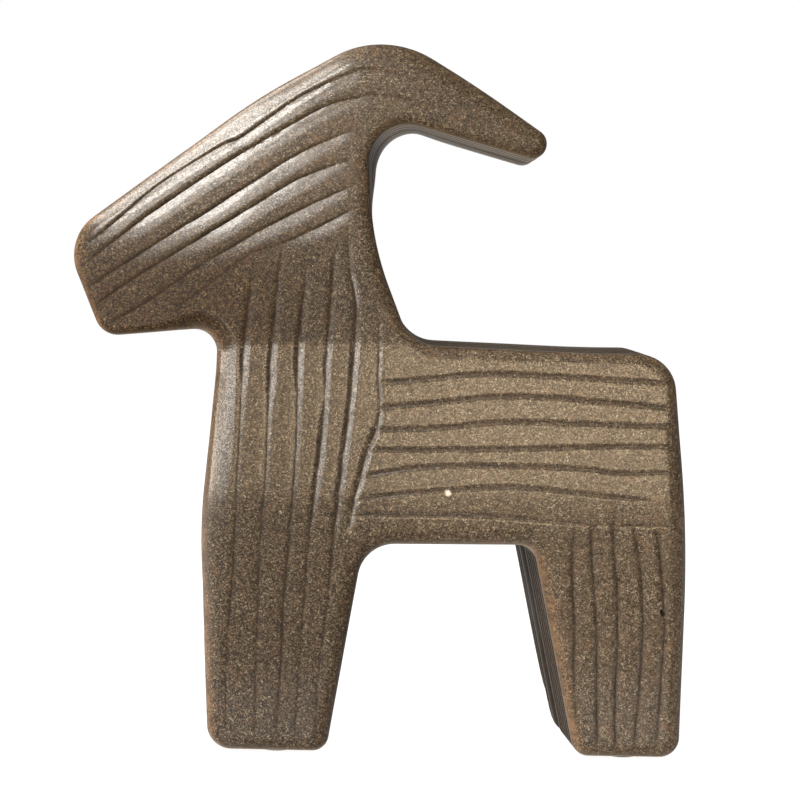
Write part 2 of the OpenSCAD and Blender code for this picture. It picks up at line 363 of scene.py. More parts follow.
def edge_turn(places, edge_sizes, shift):
    """How far the edge has turned from the side to the face at each place, how far it is wiped round and
    how glossy it is left."""
    outline = inset_outline(np.zeros(len(outline_points)), shift)
    gap = np.full(len(places), np.inf)
    found = np.zeros((len(places), 2))
    given = np.stack((edge_sizes, outline_gloss), axis=1)
    for a, b, here, there in zip(outline, np.roll(outline, -1, axis=0), given, np.roll(given, -1, axis=0)):
        along, apart = to_line(places, a, b)
        found = np.where((apart < gap)[:, None], here + along[:, None] * (there - here), found)
        gap = np.minimum(gap, apart)
    wiped, gloss = found.T
    return np.arccos(np.clip(1 - gap / wiped, 0, 1)), wiped, gloss


# The least room round a point in a pit, on a groove, on the edge, elsewhere on the face and beside its
# border, and the size of the cells in which a point's neighbours are looked up, which no room exceeds
PIT_ROOM = 0.1
GROOVE_ROOM = 0.17
EDGE_ROOM = 0.45
FACE_ROOM = 0.85
BORDER_ROOM = 0.6
ROOM_CELL = 0.9


def with_room(wanted, border):
    """The wanted points that lie well inside a border and have their room beside those kept before them."""
    places = np.array([p for p, room in wanted])
    inside = np.zeros(len(places), bool)
    gap = np.full(len(places), np.inf)
    for a, b in zip(border, np.roll(border, -1, axis=0)):
        crosses = (a[1] > places[:, 1]) != (b[1] > places[:, 1])
        if a[1] != b[1]:
            crossing = a[0] + (places[:, 1] - a[1]) * (b[0] - a[0]) / (b[1] - a[1])
            inside ^= crosses & (places[:, 0] < crossing)
        gap = np.minimum(gap, to_line(places, a, b)[1])
    cells = {}
    kept = []
    for i in np.flatnonzero(inside & (gap > BORDER_ROOM)):
        place, room = wanted[i]
        column, row = math.floor(place[0] / ROOM_CELL), math.floor(place[1] / ROOM_CELL)
        homes = [(column + u, row + v) for u in (-1, 0, 1) for v in (-1, 0, 1)]
        around = [p for home in homes for p in cells.get(home, ())]
        if all((p[0] - place[0]) ** 2 + (p[1] - place[1]) ** 2 > room * room for p in around):
            cells.setdefault((column, row), []).append(place)
            kept.append(place)
    return np.array(kept)


# Rows of points beside a groove, as shares of its reach, and one more row on the bank
GROOVE_ROWS = (0, 0.06, 0.2, 0.4, 0.65, 1)
GROOVE_BANK = 0.5
# The crease gets the same rows: from which x to which, and their reach
CREASE_SPAN = (-60, 20)
CREASE_REACH = 1.6
# Rings of points in a pit, as shares of its size, and the points in a ring
PIT_RINGS = (0, 0.3, 0.55, 0.8, 1, 1.25)
PIT_POINTS = 16
# Height of a triangle of equal sides, as a share of a side
TRIANGLE_HEIGHT = 0.866


def face_points(lines, edge_sizes, border, border_shift, pits):
    """Points inside a face: rings in the pits, rows along the grooves, the crease and the edge, and an even
    spread between them."""
    wanted = []
    for x, height, length, width, slant in pits:
        along = np.array((math.cos(slant), math.sin(slant)))
        for ring in PIT_RINGS:
            for turn in np.linspace(0, 2 * math.pi, PIT_POINTS, endpoint=False):
                spot = ring * (length * math.cos(turn) * along + width * math.sin(turn) * left_of(along))
                wanted.append((np.array((x, height)) + spot, PIT_ROOM))
    crease = np.array([(x, CREASE, 1) for x in np.arange(*CREASE_SPAN, GROOVE_STEP)])
    strips = [(crease, CREASE_REACH, CREASE_REACH)] + [(rows, cut[1], cut[2]) for rows, cut in lines]
    for share, bank in [(share, 0) for share in GROOVE_ROWS] + [(1, GROOVE_BANK)]:
        for rows, right, left in strips:
            ways = np.gradient(rows[:, :2], axis=0)
            across = np.stack((-ways[:, 1], ways[:, 0]), axis=1) / np.linalg.norm(ways, axis=1)[:, None]
            for offset in (share * left + bank, -share * right - bank) if share else (0,):
                wanted += [(p, GROOVE_ROOM) for p in rows[:, :2] + offset * across]
    for angle in np.linspace(EDGE_TURN, math.pi / 2, FACE_ROWS)[1:]:
        ring = inset_outline(edge_sizes * (1 - math.cos(angle)), border_shift)
        wanted += [(p, EDGE_ROOM) for p in ring]
    low, high = border.min(0), border.max(0)
    for j, height in enumerate(np.arange(low[1], high[1], FACE_STEP * TRIANGLE_HEIGHT)):
        for x in np.arange(low[0] + (j % 2) * FACE_STEP / 2, high[0], FACE_STEP):
            wanted.append((np.array((x, height)), FACE_ROOM))
    return with_room(wanted, border)


# Which triangles a filling keeps, those inside its border, and how near two points count as one
FILL_INSIDE = 1
FILL_NEAR = 1e-7


def filled(border, inner=()):
    """Triangles that fill a border of points, with the inner points among them."""
    flat = [Vector(p) for p in border] + [Vector(p) for p in inner]
    made = geometry.delaunay_2d_cdt(flat, [], [list(range(len(border)))], FILL_INSIDE, FILL_NEAR)
    first = [sources[0] for sources in made[3]]
    return [[first[v] for v in face] for face in made[2]]


def new_piece(name, points, faces):
    """An object from points in millimetres."""
    mesh = bpy.data.meshes.new(name)
    mesh.from_pydata((np.asarray(points) * MM).tolist(), [], faces)
    mesh.validate()
    piece = bpy.data.objects.new(name, mesh)
    bpy.context.scene.collection.objects.link(piece)
    return piece


def bands(rings, count, flip):
    """Faces between rings of count points each."""
    faces = []
    for r in range(rings - 1):
        for i in range(count):
            a, b = r * count + i, r * count + (i + 1) % count
            face = [a, b, b + count, a + count]
            faces.append(face[::-1] if flip else face)
    return faces


# Grooves round the sides of the left half and of the right half: distance from the mid plane, depth, reach,
# and the share of the groove that goes on under the horn
SIDE_GROOVES = {
    -1: [(3, 1, 1.8, 1), (7.3, 1.2, 1.9, 0), (11.6, 1, 1.8, 1), (15.9, 1.1, 1.8, 0), (20.2, 0.8, 1.6, 1.3)],
    1: [(6.5, 1.5, 5.5, 0.6), (15.5, 0.7, 1.9, 1), (19.8, 0.7, 1.8, 0)],
}
# How steeply they end, how dark the glaze pools in them with painted shade, and how steeply that ends
SIDE_STEEP = 1.3
SIDE_POOL_AND_SHADE = 1.2
SIDE_POOL_AND_SHADE_STEEP = 0.8
# How hard the comb is pressed round the sides: at least, on average, by how much that varies and over what
# length, in which layer of noise, and how much slower across the grooves
PRESS_LEAST = 0.5
PRESS_MIDDLE = 0.85
PRESS_VARIES = 0.5
PRESS_LENGTH = 26
PRESS_LAYER = 30
PRESS_ACROSS = 4
# A side lies under the horn from a height on, softly, between two x, and where it doesn't face up
HORN_FROM = 150
HORN_SOFT = 15
HORN_SPAN = (-10, 62)
HORN_RISE = 0.3


def side_groove(side, x, level, height, rise, angle):
    """How deep the comb has cut round a side at one place, and how dark the glaze pools there, with painted
    shade. rise is how much the side faces up, and angle is how far the edge has turned."""
    under_horn = 0
    if HORN_SPAN[0] < x < HORN_SPAN[1] and rise < HORN_RISE:
        under_horn = min(1, max(0, (height - HORN_FROM) / HORN_SOFT))
    layer = PRESS_LAYER * side + level / PRESS_ACROSS
    pressed = max(PRESS_LEAST, PRESS_MIDDLE + PRESS_VARIES * uneven(x, layer, height, PRESS_LENGTH))
    pressed *= math.cos(angle) ** 4
    near, cut = 0, 0
    for groove_level, depth, reach, going_on in SIDE_GROOVES[side]:
        beside = max(0, 1 - abs(level - groove_level) / reach)
        beside *= 1 - under_horn * (1 - going_on)
        near, cut = max(near, beside), max(cut, depth * beside ** SIDE_STEEP)
    return cut * pressed, SIDE_POOL_AND_SHADE * near ** SIDE_POOL_AND_SHADE_STEEP * pressed


# The largest unevenness that the hand leaves and its length, and how far it fades out towards the seam and,
# with all cuts, towards the sole
WOBBLE = 0.07
WOBBLE_LENGTH = 18
SEAM_CALM = 3
SOLE_CALM = 3


def wobble(x, level, height):
    """How far the hand has pressed the clay in at one place."""
    return WOBBLE * (0.5 + 0.5 * uneven(x, level, height, WOBBLE_LENGTH))


# A pinhole in the glaze of the left hind leg: x, height, half its length, half its width and its slant
PINHOLE = (84.6, 44.5, 1.35, 0.7, math.radians(-60))
# How deep a pit is, how steeply it falls, how dark the glaze is in it and how fast it darkens from the rim
PIT_DEPTH = 1.3
PIT_STEEP = 1.2
PIT_DARK = 1.7
PIT_DARKENS = 2.5


def pit_share(x, height, pit):
    """How near the middle of a pit a place of a face is: 1 there, and 0 outside its rim."""
    pit_x, pit_height, length, width, slant = pit
    along, across = math.cos(slant), math.sin(slant)
    u = ((x - pit_x) * along + (height - pit_height) * across) / length
    v = ((height - pit_height) * along - (x - pit_x) * across) / width
    return max(0, 1 - u * u - v * v)


# How much the glaze breaks to rust on the left half's edges and on the right half's, and how far that
# reaches on both sides of the outermost line of an edge
RUST = {-1: 1, 1: 0.3}
RUST_REACH = 2
# How far an edge turns until it is as dull as it gets
DULL_TURN = math.radians(12)
# The sole is wiped bare up to a height, and the glaze thickens over a little more
BARE_HEIGHT = 0.15
BARE_SOFT = 0.5


def half_form(name, side):
    """The outside of a half, closed along the mid plane, with masks for its glaze. side is -1 for the left
    half and 1 for the right one."""
    lines = combed_lines(side)
    pits = [PINHOLE] if side < 0 else []
    edge_sizes = worn_edge if side > 0 else outline_edge
    rusty = RUST[side]
    wall_top = HALF - edge_sizes
    still = np.zeros(len(outline_points))
    sections = [(still + SEAM_BARE, still, 0), (still + SEAM_BEVEL, still, 0)]
    sections.append((still, still + SEAM_BEVEL, 0))
    for share in np.linspace(0, 1, WALL_ROWS)[1:]:
        sections.append((still, SEAM_BEVEL + share * (wall_top - SEAM_BEVEL), 0))
    for angle in np.linspace(0, EDGE_TURN, EDGE_ROWS + 1)[1:]:
        insets = edge_sizes * (1 - math.cos(angle))
        sections.append((insets, wall_top + edge_sizes * math.sin(angle), angle))
    points, groove, edge, dull, side_wall, glazed = [], [], [], [], [], []
    for insets, levels, angle in sections:
        shifts = HIND_SLANT / 2 * (1 + side * levels / HALF)
        flat = inset_outline(insets, shifts)
        depth, bottom = carve(flat, lines)
        turned = math.sin(angle)
        for i, (x, height) in enumerate(flat):
            level = levels[i]
            out, rise = outline_normals[i]
            side_cut, side_pool_and_shade = side_groove(side, x, level, height, rise, angle)
            cut = depth[i] * turned ** 2 + side_cut
            cut += wobble(x, level, height) * min(1, level / SEAM_CALM)
            cut *= min(1, height / SOLE_CALM)
            x -= out * cut * math.cos(angle)
            y = level * face_at(height) / HALF - cut * turned
            z = height - rise * cut * math.cos(angle) + SOLE
            points.append((x, side * y, z))
            groove.append(max(bottom[i] * turned ** 2, side_pool_and_shade))
            beside = insets[i] if angle else wall_top[i] - level
            edge.append(rusty * math.exp(-(beside / RUST_REACH) ** 2))
            dull.append(1 - outline_gloss[i])
            side_wall.append(math.cos(angle) ** 2)
            in_seam = insets[i] == SEAM_BARE
            glazed.append(0 if in_seam else min(1, max(0, (height - BARE_HEIGHT) / BARE_SOFT)))
    count = len(outline_points)
    faces = bands(len(sections), count, side < 0)
    border = flat
    inner = face_points(lines, edge_sizes, border, shifts, pits)
    depth, bottom = carve(inner, lines)
    turns, wiped, gloss = edge_turn(inner, edge_sizes, HIND_SLANT / 2 * (1 + side))
    levels = HALF - wiped * (1 - np.sin(turns))
    dull += np.clip((1 - gloss) * (math.pi / 2 - turns) / DULL_TURN, 0, 1 - gloss).tolist()
    edge += (rusty * np.exp(-(wiped * (1 - np.cos(turns)) / RUST_REACH) ** 2)).tolist()
    for (x, height), cut, low, turn, level in zip(inner, depth, bottom, turns, levels):
        cut *= math.sin(turn) ** 2
        cut += wobble(x, level, height)
        for pit in pits:
            near = pit_share(x, height, pit)
            cut += PIT_DEPTH * near ** PIT_STEEP
            low = max(low, PIT_DARK * min(1, PIT_DARKENS * near))
        points.append((x, side * (level * face_at(height) / HALF - cut), height + SOLE))
        groove.append(low)
        side_wall.append(math.cos(turn) ** 2)
        glazed.append(1)
    last = (len(sections) - 1) * count
    for face in filled(border, inner):
        placed = [last + v for v in face]
        faces.append(placed[::-1] if side > 0 else placed)
    seam = outline_points - outline_normals * SEAM_BARE
    faces += [face if side > 0 else face[::-1] for face in filled(seam)]
    piece = new_piece(name, points, faces)
    masks = {"groove": groove, "edge": edge, "dull": dull, "side_wall": side_wall, "glazed": glazed}
    for label, values in masks.items():
        piece.data.attributes.new(label, "FLOAT", "POINT").data.foreach_set("value", values)
    return piece


def prism(name, sections, across):
    """A closed form from sections of equal count, which run counter-clockwise seen past the last of them.
    across names the two coordinates that a section lies in."""
    count = len(sections[0])
    faces = bands(len(sections), count, False)
    last = (len(sections) - 1) * count
    faces += [face[::-1] for face in filled(sections[0][:, across])]
    faces += [[last + v for v in face] for face in filled(sections[-1][:, across])]
    return new_piece(name, np.vstack(sections), faces)


# How round the corners of the hollow are, the share of its shorter side that a corner may take, the spacing
# of its points, and how far it is drawn past the seam, where the half is open
HOLLOW_RADIUS = 6
HOLLOW_SHARE = 0.4
HOLLOW_STEP = 4
HOLLOW_PAST = 2.0


def hollow(side):
    """The space inside a half: the outline moved in by the wall, up to the wall behind the face."""
    count = len(CORNERS)
    places = [np.array((x - HIND_SLANT / 2 * slant, height)) for x, height, radius, slant, *edge in CORNERS]
    ways = [unit(places[(k + 1) % count] - places[k]) for k in range(count)]
    moved = []
    for k in range(count):
        here = places[k] - left_of(ways[k]) * WALL
        before = places[k - 1] - left_of(ways[k - 1]) * WALL
        reach = np.cross(here - before, ways[k]) / np.cross(ways[k - 1], ways[k])
        moved.append(before + ways[k - 1] * reach)
    soft = []
    for k in range(count):
        spans = [np.linalg.norm(moved[k] - moved[k - 1]), np.linalg.norm(moved[(k + 1) % count] - moved[k])]
        turn = math.acos(max(-1, min(1, ways[k - 1] @ ways[k])))
        soft.append((*moved[k], min(HOLLOW_RADIUS, HOLLOW_SHARE * min(spans) / math.tan(turn / 2))))
    flat = rounded(soft, HOLLOW_STEP)[0][::-1]
    low = np.stack((flat[:, 0], np.full(len(flat), -side * HOLLOW_PAST), flat[:, 1] + SOLE), axis=1)
    high = np.stack((flat[:, 0], side * (face_at(flat[:, 1]) - WALL), flat[:, 1] + SOLE), axis=1)
    return prism("hollow", [low, high] if side < 0 else [high, low], (0, 2))


def cut_away(piece, cutter):
    """Takes a cutter's volume out of a piece."""
    modifier = piece.modifiers.new("cut", "BOOLEAN")
    modifier.operation = "DIFFERENCE"
    modifier.solver = "MANIFOLD"
    modifier.object = cutter
    shown = piece.evaluated_get(bpy.context.evaluated_depsgraph_get())
    result = bpy.data.meshes.new_from_object(shown)
    result.materials.clear()
    piece.modifiers.clear()
    piece.data = result
    bpy.data.objects.remove(cutter)


# The joint between a half and a foot plate: the gap for the slip, the ledge over the plate, the radius of
# the seat's corners and the spacing of its points, and how far its cut goes out of the sole and into the leg
SLIP_GAP = 0.15
LEDGE = 2.5
SEAT_RADIUS = 3
SEAT_STEP = 1.6
SEAT_OUT = 1
SEAT_IN = 2


def plate_outline(node, inset):
    """The rounded outline of a foot plate, drawn in by inset, counter-clockwise seen from above."""
    low, high = (np.array(corner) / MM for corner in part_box(node))
    corners = [(low[0], low[1]), (high[0], low[1]), (high[0], high[1]), (low[0], high[1])]
    points, inward = rounded([(*c, SEAT_RADIUS) for c in corners], SEAT_STEP)[:2]
    return points + inward * inset


def level_section(flat, z):
    """A flat outline as points at one level."""
    return np.column_stack((flat, np.full(len(flat), z)))


def foot_seat(node):
    """The seat of a foot plate in the sole, with the way past its ledge into the leg."""
    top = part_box(node)[1].z / MM
    seat = plate_outline(node, -SLIP_GAP)
    way = plate_outline(node, LEDGE)
    sections = [(seat, SOLE - SEAT_OUT), (seat, top), (way, top), (way, SOLE + WALL + SEAT_IN)]
    return prism("seat", [level_section(flat, z) for flat, z in sections], (0, 1))


class Wire:
    """A node's output, so that a material's sums can be written as sums."""

    def __init__(self, tree, socket=None):
        self.tree = tree
        self.socket = socket

    def node(self, kind, settings, sockets, output=0):
        """A new node: its settings are set first, then the values or links of its sockets."""
        made = self.tree.nodes.new(kind)
        for name, value in settings.items():
            if name == "stops":
                for i, (place, colour) in enumerate(value):
                    stop = made.color_ramp.elements[i] if i < 2 else made.color_ramp.elements.new(place)
                    stop.position = place
                    stop.color = colour
            else:
                setattr(made, name, value)
        for name, value in sockets.items():
            if isinstance(value, Wire):
                self.tree.links.new(value.socket, made.inputs[name])
            else:
                made.inputs[name].default_value = value
        return Wire(self.tree, made.outputs[output] if made.outputs else None)

    def math(self, operation, *values):
        """A Math node for values."""
        return self.node("ShaderNodeMath", {"operation": operation}, dict(enumerate(values)))

    def __add__(self, other):
        return self.math("ADD", self, other)

    def __radd__(self, other):
        return self.math("ADD", other, self)

    def __sub__(self, other):
        return self.math("SUBTRACT", self, other)

    def __rsub__(self, other):
        return self.math("SUBTRACT", other, self)

    def __mul__(self, other):
        return self.math("MULTIPLY", self, other)

    def __rmul__(self, other):
        return self.math("MULTIPLY", other, self)

    def between(self, low, high):
        """0 below low, 1 above high and a soft step from one to the other."""
        sockets = {"Value": self, "From Min": low, "From Max": high}
        return self.node("ShaderNodeMapRange", {"interpolation_type": "SMOOTHSTEP"}, sockets)

    def over(self, span):
        """The same for a span in millimetres of a place's coordinate."""
        return self.between(span[0] * MM, span[1] * MM)

    def mix(self, first, second, blend="MIX"):
        """The first colour where this is 0, and where it is 1 the second or the blend of both."""
        settings = {"data_type": "RGBA", "blend_type": blend}
        return self.node("ShaderNodeMix", settings, {0: self, 6: first, 7: second}, 2)

    def grain(self, size, detail=1.0, roughness=0.5):
        """Noise at this place, in grains of a size in metres."""
        sockets = {"Vector": self, "Scale": 1 / size, "Detail": detail, "Roughness": roughness}
        return self.node("ShaderNodeTexNoise", {}, sockets)

    def mask(self, label):
        """A mask that the mesh carries."""
        return self.node("ShaderNodeAttribute", {"attribute_name": label}, {}, "Fac")

    def axis(self, name):
        """One coordinate of this place or direction."""
        return self.node("ShaderNodeSeparateXYZ", {}, {"Vector": self}, name)

    def ramp(self, stops):
        """The colour that stops give for this value. The first and the last of them are named first."""
        return self.node("ShaderNodeValToRGB", {"stops": stops}, {"Fac": self})

    def bump(self, strength, depth):
        """A surface that this value raises, up to a depth in metres."""
        sockets = {"Strength": strength, "Distance": depth, "Height": self}
        return self.node("ShaderNodeBump", {}, sockets, "Normal")


def tone(red, green, blue):
    """A colour as a picture shows it, from 0 to 255 a channel, in the linear light that shaders take."""
    shown = np.array((red, green, blue)) / 255
    linear = np.where(shown > 0.04045, ((shown + 0.055) / 1.055) ** 2.4, shown / 12.92)
    return (*linear.tolist(), 1)


def new_finish(name):
    """A material, its shader and the place on the object's surface."""
    material = bpy.data.materials.new(name)
    material.use_nodes = True
    tree = material.node_tree
    place = Wire(tree).node("ShaderNodeTexCoord", {}, {}, "Object")
    return material, tree.nodes["Principled BSDF"], place


def feed(shader, **inputs):
    """Links or sets a shader's inputs, whose names have underscores for spaces."""
    for name, value in inputs.items():
        socket = shader.inputs[name.replace("_", " ")]
        if isinstance(value, Wire):
            value.tree.links.new(value.socket, socket)
        else:
            socket.default_value = value


# Size of the glaze's grains, and its colours from the darkest and the lightest grain to those between
GRAIN = 0.33
GRAINS = [(0.05, tone(17, 13, 9)), (0.98, tone(142, 133, 116)), (0.3, tone(41, 33, 24)),
          (0.5, tone(61, 50, 37)), (0.75, tone(85, 74, 58))]
WARM_BROWN = tone(96, 68, 49)
CLOUD_BROWN = tone(56, 46, 35)
# Rust on thin edges; where they face the lamps it also stands for painted light
RUST_AND_LIT_BROWN = tone(150, 116, 84)
# Pools in the grooves, partly painted shade
POOL_AND_SHADE_BROWN = tone(30, 21, 14)
# Lighter grey on undersides: glaze that hung thin, with a painted reflection of the pale floor
HUNG_AND_REFLECTED_GREY = tone(150, 135, 115)
CLAY_DARK, CLAY_LIGHT = tone(150, 130, 105), tone(186, 168, 142)
# Painted shade at the front up to the head and a little less down the leg, and on the cheek above the
# crease, and thicker glaze on the horn: where each is and its tint. The sides get a painted shade tint too
FRONT_X, FRONT_Z, FRONT_SHADE_TINT = (-25, 30), (130, 180), (0.4, 0.34, 0.25, 1)
FRONT_LEG_Z = (45, 85)
HORN_X, HORN_Z, HORN_TINT = (-15, 15), (160, 178), (0.82, 0.8, 0.76, 1)
CHEEK_X, CHEEK_Z, CHEEK_SHADE_TINT = (-45, -10), (140, 165), (0.82, 0.7, 0.52, 1)
CREASE_Z = (121.5, 123.5)
SIDE_SHADE_TINT = (0.54, 0.52, 0.5, 1)
# A cream speck that fell on the wet glaze of the left side: its place, its radius and its colour
SPECK = (19.9, -28, 80.3)
SPECK_RADIUS = 1.0
SPECK_CREAM = tone(222, 210, 192)


def glaze_finish():
    """Satin speckled glaze: salt-and-pepper grains, dark pools in grooves, rust where thin, painted light.
    """
    material, shader, place = new_finish("speckled_glaze")
    x, z = (place.axis(name) for name in "XZ")
    normal = place.node("ShaderNodeNewGeometry", {}, {}, "Normal")
    facing, rising = 0 - normal.axis("X"), normal.axis("Z")
    groove, glazed, walled = (place.mask(label) for label in ("groove", "glazed", "side_wall"))
    walled = walled * walled * walled

    # Grains, with warm patches and darker clouds
    cells = place.node("ShaderNodeTexVoronoi", {}, {"Vector": place, "Scale": 1 / (GRAIN * MM)}, "Color")
    salt, gloss = (cells.node("ShaderNodeSeparateColor", {}, {"Color": cells}, k) for k in (0, 1))
    clump = place.grain(1.3 * MM, 2.0, 0.6)
    colour = (salt * 0.7 + clump * 0.5 - 0.12).ramp(GRAINS)
    warm = place.grain(3.1 * MM, 2.0, 0.6).between(0.5, 0.75) * 0.3
    colour = warm.mix(colour, WARM_BROWN)
    cloud = place.grain(18 * MM, 2.0, 0.5).between(0.35, 0.7) * 0.22
    colour = cloud.mix(colour, CLOUD_BROWN)

    # Painted shade at the front and on the cheek, and thicker glaze on the horn
    # thick is painted shade: it darkens the front, and a little less the leg, as if less light fell there
    thick = (1 - x.over(FRONT_X)) * (1 - z.over(FRONT_Z)) * (0.85 + 0.15 * z.over(FRONT_LEG_Z))
    colour = (thick * (1.2 - 0.8 * salt)).mix(colour, FRONT_SHADE_TINT, "MULTIPLY")
    horn = x.over(HORN_X) * z.over(HORN_Z)
    colour = horn.mix(colour, HORN_TINT, "MULTIPLY")
    above = z.over(CREASE_Z)
    shaded_cheek = above * (1 - z.over(CHEEK_Z)) * (1 - x.over(CHEEK_X))
    colour = shaded_cheek.mix(colour, CHEEK_SHADE_TINT, "MULTIPLY")

    # Rust on thin edges, painted lighter where they face the lamps; pools and painted shade in grooves
    rust_and_lit_edge = place.mask("edge") * (0.1 + 0.9 * facing.between(0.1, 0.6))
    rust_and_lit_edge = rust_and_lit_edge * (0.5 + 0.5 * place.grain(6 * MM, 3.0, 0.6).between(0.35, 0.6))
    colour = (rust_and_lit_edge * (0.1 + 0.36 * salt)).mix(colour, RUST_AND_LIT_BROWN)
    pool_and_shade = groove * (0.55 + 0.5 * salt)
    pool_and_shade = pool_and_shade.node("ShaderNodeClamp", {}, {"Value": pool_and_shade, "Max": 0.85})
    colour = pool_and_shade.mix(colour, POOL_AND_SHADE_BROWN)

    # The speck
    middle = {0: place, 1: [v * MM for v in SPECK]}
    apart = place.node("ShaderNodeVectorMath", {"operation": "DISTANCE"}, middle, "Value")
    ragged = apart + (clump - 0.5) * 1.5 * MM
    fallen = 1 - ragged.over((0.3 * SPECK_RADIUS, 1.2 * SPECK_RADIUS))
    colour = (fallen * 0.7).mix(colour, SPECK_CREAM)

    # Painted shade on the sides; undersides have lighter ridges: thin hung glaze and a painted reflection
    shade = walled * (1 - 0.8 * rust_and_lit_edge) * (0.4 + 0.6 * rising.between(-0.9, -0.4))
    colour = shade.mix(colour, SIDE_SHADE_TINT, "MULTIPLY")
    hung_and_reflected = walled * (1 - rising.between(-0.9, -0.3)) * (1 - groove.between(0.05, 0.5))
    colour = (hung_and_reflected * 0.42).mix(colour, HUNG_AND_REFLECTED_GREY)
    clay = place.grain(0.9 * MM, 3.0, 0.6).mix(CLAY_DARK, CLAY_LIGHT)

    # The sheen comes and goes from grain to grain. It is weak on the sides, in grooves, on dull edges, on
    # the cheek and on what faces down above the crease
    sheen = (gloss * 0.6 + salt * 0.4).between(0.15, 0.85)
    sheen = (0.33 + 0.55 * sheen) * (1 - 0.85 * walled) * (1 - 0.9 * place.mask("dull")) * glazed
    sheen = sheen * (1 - 0.8 * groove.between(0.1, 0.7)) * (1 - 0.7 * shaded_cheek)
    sheen = sheen * (1 - 0.9 * above * (1 - rising.between(-0.04, 0.04)))
    skin = place.grain(0.6 * MM, 2.0, 0.6)
    feed(shader, Base_Color=glazed.mix(clay, colour), Roughness=0.45 + 0.2 * salt + 0.35 * groove,
         Normal=skin.bump(0.5, 0.05 * MM), Specular_IOR_Level=0.15, Coat_Weight=sheen, Coat_Roughness=0.17)
    return material


# Edges that turn by more than this are shaded as sharp
SHARP_TURN = math.radians(55)

glaze = glaze_finish()
for name, node, side in (("left_half", "left_shell", -1), ("right_half", "right_shell", 1)):
    half = half_form(name, side)
    cut_away(half, hollow(side))
    for plate in ("front_foot_plate", "hind_foot_plate"):
        cut_away(half, foot_seat(plate))
    half.data.shade_smooth()
    half.data.set_sharp_from_angle(angle=SHARP_TURN)
    half.data.materials.append(glaze)
    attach(half, "root")
    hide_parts(node)

# A clay plate closes the open end of each leg. It is cut from the same clay, luted in its seat with slip,
# left bare because the figure stands on that side in the kiln, and has a vent for the hot air.

# The plate's bevel, and the vent's radius, how far and how deep its rims flare, and the points round it
PLATE_BEVEL = 0.4
VENT_RADIUS = 3
VENT_FLARE = 1
VENT_CHAMFER = 0.5
VENT_POINTS = 40
# Its colours from the darkest and the lightest grit to that between, and the blush of the kiln
GRIT = [(0.3, tone(120, 98, 74)), (0.72, tone(204, 186, 158)), (0.5, tone(172, 150, 121))]
BLUSH = tone(166, 124, 90)


def clay_finish():
    """Bare fired clay: fine grit, a warm blush and the sponge's faint marks."""
    material, shader, place = new_finish("fired_clay")
    grit = place.grain(0.35 * MM, 2.0, 0.7)
    blush = place.grain(6 * MM, 2.0, 0.5).between(0.4, 0.7) * 0.4
    height = grit * 0.5 + place.grain(1.4 * MM, 2.0, 0.6) * 0.5
    feed(shader, Base_Color=blush.mix(grit.ramp(GRIT), BLUSH), Roughness=0.72 + 0.2 * grit,
         Normal=height.bump(0.6, 0.1 * MM))
    return material


def foot_plate(name, node):
    """A foot plate with bevelled rims and a flared vent."""
    low, high = (corner.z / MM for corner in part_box(node))
    steps = [(PLATE_BEVEL, low), (0, low + PLATE_BEVEL), (0, high - PLATE_BEVEL), (PLATE_BEVEL, high)]
    plate = prism(name, [level_section(plate_outline(node, inset), z) for inset, z in steps], (0, 1))
    middle = sum(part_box(node), Vector()) / 2 / MM
    turns = np.linspace(0, 2 * math.pi, VENT_POINTS, endpoint=False)
    circle = np.stack((np.cos(turns), np.sin(turns)), axis=1)
    flared = VENT_RADIUS + VENT_FLARE
    rims = [(flared, low - VENT_CHAMFER), (VENT_RADIUS, low + VENT_CHAMFER)]
    rims += [(VENT_RADIUS, high - VENT_CHAMFER), (flared, high + VENT_CHAMFER)]
    vent = [level_section(circle * radius + np.array(middle)[:2], z) for radius, z in rims]
    cut_away(plate, prism("vent", vent, (0, 1)))
    return plate


bare_clay = clay_finish()
for node in ("front_foot_plate", "hind_foot_plate"):
    plate = foot_plate(node + "_bare", node)
    plate.data.materials.append(bare_clay)
    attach(plate, "root")
    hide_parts(node)

# Four round pads of pressed felt are glued under the soles, two to a foot, so that the fired clay doesn't
# scratch what the goat stands on. They are punched from a sheet, so the rim is a little fuzzy.

# Rings of a pad's flat sides, points in a ring, how uneven these sides are, and the share of the thickness
# within which a ring counts as flat
PAD_RINGS = 9
PAD_POINTS = 56
PAD_DIMPLE = 0.05
PAD_FLAT = 0.1
# Profile of its rim: how far in, at which share of the thickness
PAD_RIM = [(0.18, 0.02), (0, 0.2), (0, 0.5), (0, 0.8), (0.18, 0.98)]
# How far the rim is fuzzy, over what length, how much that changes through the thickness, and from which
# share of the radius on
PAD_FUZZ = 0.14
FUZZ_LENGTH = 0.7
FUZZ_THROUGH = 5
FUZZ_FROM = 0.9
FIBRE_DARK, FIBRE_LIGHT = tone(52, 49, 46), tone(96, 91, 85)


def felt_finish():
    """Pressed felt: short tangled fibres in two greys, fully rough."""
    material, shader, place = new_finish("pressed_felt")
    fibre = place.grain(0.25 * MM, 4.0, 0.75)
    colour = fibre.between(0.35, 0.65).mix(FIBRE_DARK, FIBRE_LIGHT)
    tangle = fibre * 0.6 + place.grain(0.9 * MM, 3.0, 0.6) * 0.4
    feed(shader, Base_Color=colour, Roughness=0.9 + 0.1 * fibre, Normal=tangle.bump(0.8, 0.2 * MM),
         Sheen_Weight=0.4)
    return material


